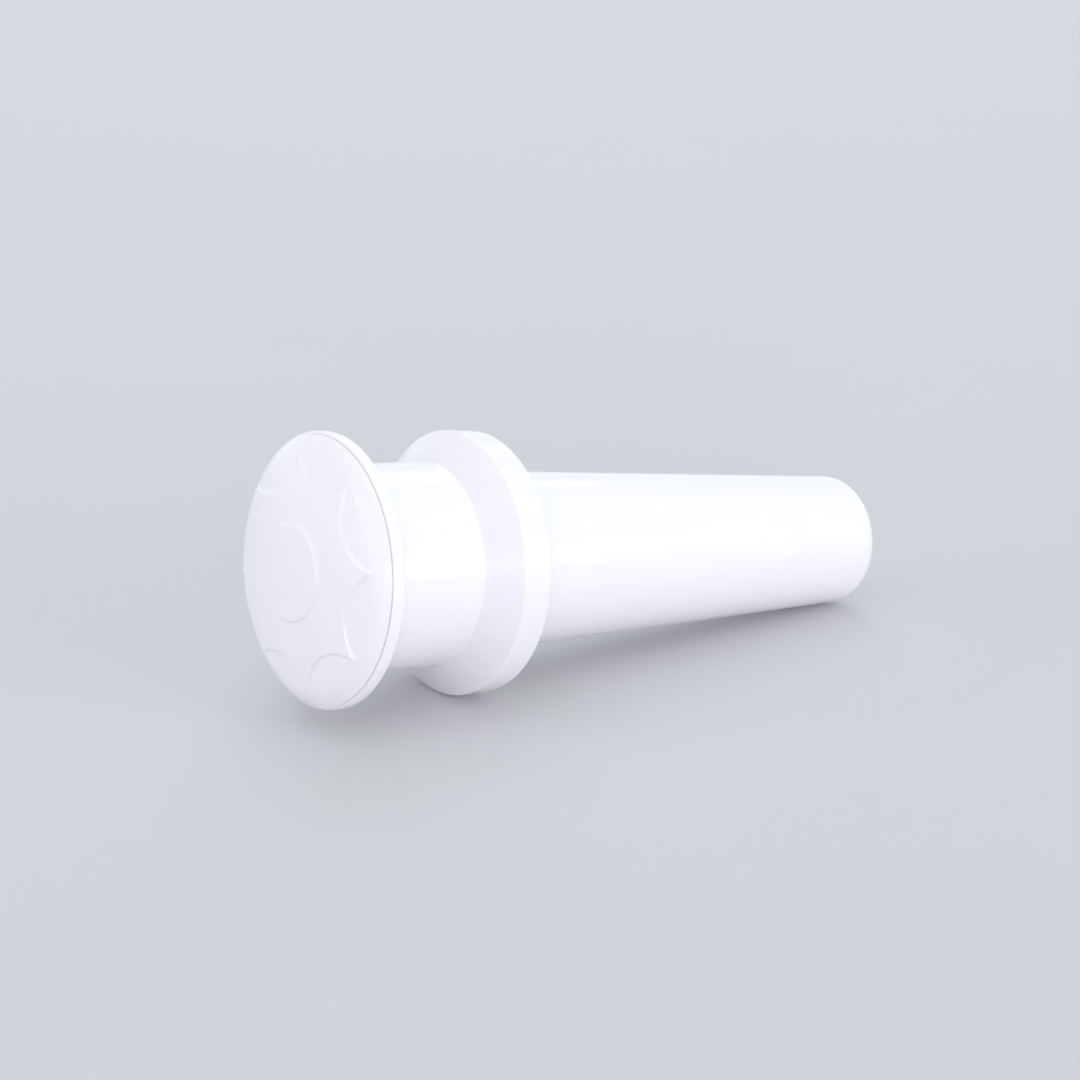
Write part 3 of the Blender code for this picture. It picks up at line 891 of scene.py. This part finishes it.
def make_barrel_head():
    lip = LINER_R + GAP
    lip_end = HEAD_END + HEAD_LIP
    corners = [(COLLAR_R, COLLAR_TOP, 0.3), (COLLAR_R, POCKET_TOP, 0.15), (SPIGOT_R, POCKET_TOP, 0.15)]
    corners += [(SPIGOT_R, HEAD_END, 0.2), (lip + 0.8, HEAD_END, 0.1), (lip + 0.8, lip_end, 0.15)]
    corners += [(lip, lip_end, 0.15), (lip, HEAD_END, 0.1), (GLAND_R, HEAD_END, 0.25)]
    corners += [(GLAND_R, GLAND_TOP, 0.25), (GLAND_WALL_R, GLAND_TOP, 0.25)]
    corners += [(GLAND_WALL_R, WELL_FLOOR, 0.3), (WELL_R, WELL_FLOOR, 0.5), (WELL_R, COLLAR_TOP, 0.3)]
    turned("barrel_head", rounded(corners), "barrel", natural)


def make_cylinder_liner():
    top = HEAD_END + GAP
    corners = [(LINER_R, top, 0.15), (LINER_R, LINER_END, 0.15)]
    corners += [(LINER_BORE_R, LINER_END, 0.2), (LINER_BORE_R, top, 0.3)]
    turned("cylinder_liner", rounded(corners), "barrel", aluminium)


def make_liner_gasket():
    top = LINER_END + GAP
    end = STEP_STATION - GAP
    corners = [(GASKET_R, top, 0.15), (GASKET_R, end, 0.15)]
    corners += [(LINER_BORE_R, end, 0.15), (LINER_BORE_R, top, 0.15)]
    turned("liner_gasket", rounded(corners), "barrel", soft_grey)


def make_suction_tip():
    neck = NOSE_END + 0.08
    corners = [(TIP_BORE_R, TIP_TOP, 0.3), (TIP_COLLAR_R, TIP_TOP, 0.3)]
    corners += [(TIP_COLLAR_R, TIP_COLLAR_END, 0.2), (TIP_NECK_R, TIP_COLLAR_END, 0.1)]
    corners += [(TIP_NECK_R, neck, 0.05), (TIP_LIP_R, neck, 0.1)]
    corners += [(TIP_LIP_R - 0.15, TIP_END, 0.3), (TIP_BORE_R, TIP_END, 0.3)]
    turned("suction_tip", rounded(corners), "barrel", silicone)


make_thumb_cap()
make_handle_shell()
make_flange_ring()
make_bumper_ring()
make_piston_rod()
make_valve_flap()
make_piston_body()
make_piston_seal()
make_screw("rod_screw", SCREW_SEAT, 1)
make_screw("piston_screw", PISTON_END + GAP, -1)
make_return_spring()
make_barrel_shell()
make_barrel_head()
make_cylinder_liner()
make_liner_gasket()
make_suction_tip()


# ---------------------------------------------------------------- floor, light and camera


def direction(azimuth, elevation):
    """Azimuth 0 looks at the tool's side along +Y, and turns towards +X."""
    a, e = math.radians(azimuth), math.radians(elevation)
    return Vector((math.sin(a) * math.cos(e), -math.cos(a) * math.cos(e), math.sin(e)))


def softbox(name, azimuth, elevation, distance, size, power, colour=(1.0, 1.0, 1.0)):
    """A rectangular light this many metres from the tool, turned towards it."""
    light = bpy.data.lights.new(name, "AREA")
    light.shape = "RECTANGLE"
    light.size, light.size_y = size
    light.energy = power
    light.color = colour
    obj = link(name, light)
    towards = direction(azimuth, elevation)
    obj.location = Vector((0.0, 0.0, 0.02)) + towards * distance
    obj.rotation_mode = "QUATERNION"
    obj.rotation_quaternion = (-towards).to_track_quat("-Z", "Y")


def ceiling_glow(strength):
    """Even light from overhead that casts no shadow, to keep the shadows on the floor pale."""
    light = bpy.data.lights.new("ceiling_glow", "SUN")
    light.energy = strength
    light.angle = math.radians(60)
    light.use_shadow = False
    link("ceiling_glow", light)


def make_floor():
    side = 4.0
    corners = [(-side, -side, 0), (side, -side, 0), (side, side, 0), (-side, side, 0)]
    mesh = bpy.data.meshes.new("floor")
    mesh.from_pydata(corners, [], [(0, 1, 2, 3)])
    mesh.materials.append(pale_floor())
    link("floor", mesh)


def make_camera():
    """Looks at the middle of the tool from in front of its left side, a little above it."""
    aim = Vector((-0.0092, -0.0019, 0.0199))
    distance = 0.43
    back = direction(-35.69, 17.2)
    camera = bpy.data.cameras.new("camera")
    camera.lens = 100.87
    camera.sensor_width = 36.0
    camera.clip_start = 0.01
    camera.clip_end = 20.0
    obj = link("camera", camera)
    obj.location = aim + back * distance
    obj.rotation_mode = "QUATERNION"
    obj.rotation_quaternion = (-back).to_track_quat("-Z", "Y")
    bpy.context.scene.camera = obj


def make_studio():
    """A pale room, brightest low down, with softboxes round the tool and two small lamps."""
    world = bpy.data.worlds.new("studio")
    bpy.context.scene.world = world
    world.use_nodes = True
    background = world.node_tree.nodes["Background"]
    room = Nodes(world.node_tree)
    upwards = room.node("ShaderNodeSeparateXYZ", inputs={0: room.node("ShaderNodeTexCoord")}, out="Z")
    walls = [(0.0, (0.883, 0.903, 1.0)), (0.5, (0.413, 0.419, 0.410)), (1.0, (0.620, 0.658, 0.688))]
    room.feed(background.inputs["Color"], room.node("ShaderNodeValToRGB", {"stops": walls}, {0: upwards}))
    room.feed(background.inputs["Strength"], 1.29)
    softbox("front_softbox", -36.0, 8.0, 2.6, (1.0, 1.0), 15.2, (0.844, 0.54, 1.0))
    softbox("left_softbox", -105.0, 15.0, 1.3, (0.8, 0.8), 1.65, (0.86, 1.0, 0.78))
    softbox("right_softbox", 20.0, 8.0, 2.6, (1.0, 1.0), 17.2, (0.894, 1.0, 0.843))
    softbox("high_softbox", 20.0, 25.0, 1.3, (0.8, 0.8), 0.6, (0.80, 1.0, 0.4))
    softbox("back_softbox", 145.0, 45.0, 1.3, (0.8, 0.8), 3.1, (0.81, 0.79, 1.0))
    softbox("small_lamp", -112.0, 23.0, 1.0, (0.04, 0.04), 0.12)
    softbox("low_lamp", -59.0, 11.0, 1.0, (0.03, 0.08), 0.1)
    ceiling_glow(0.4)
    bpy.context.scene.view_settings.view_transform = "Standard"


make_floor()
make_camera()
make_studio()
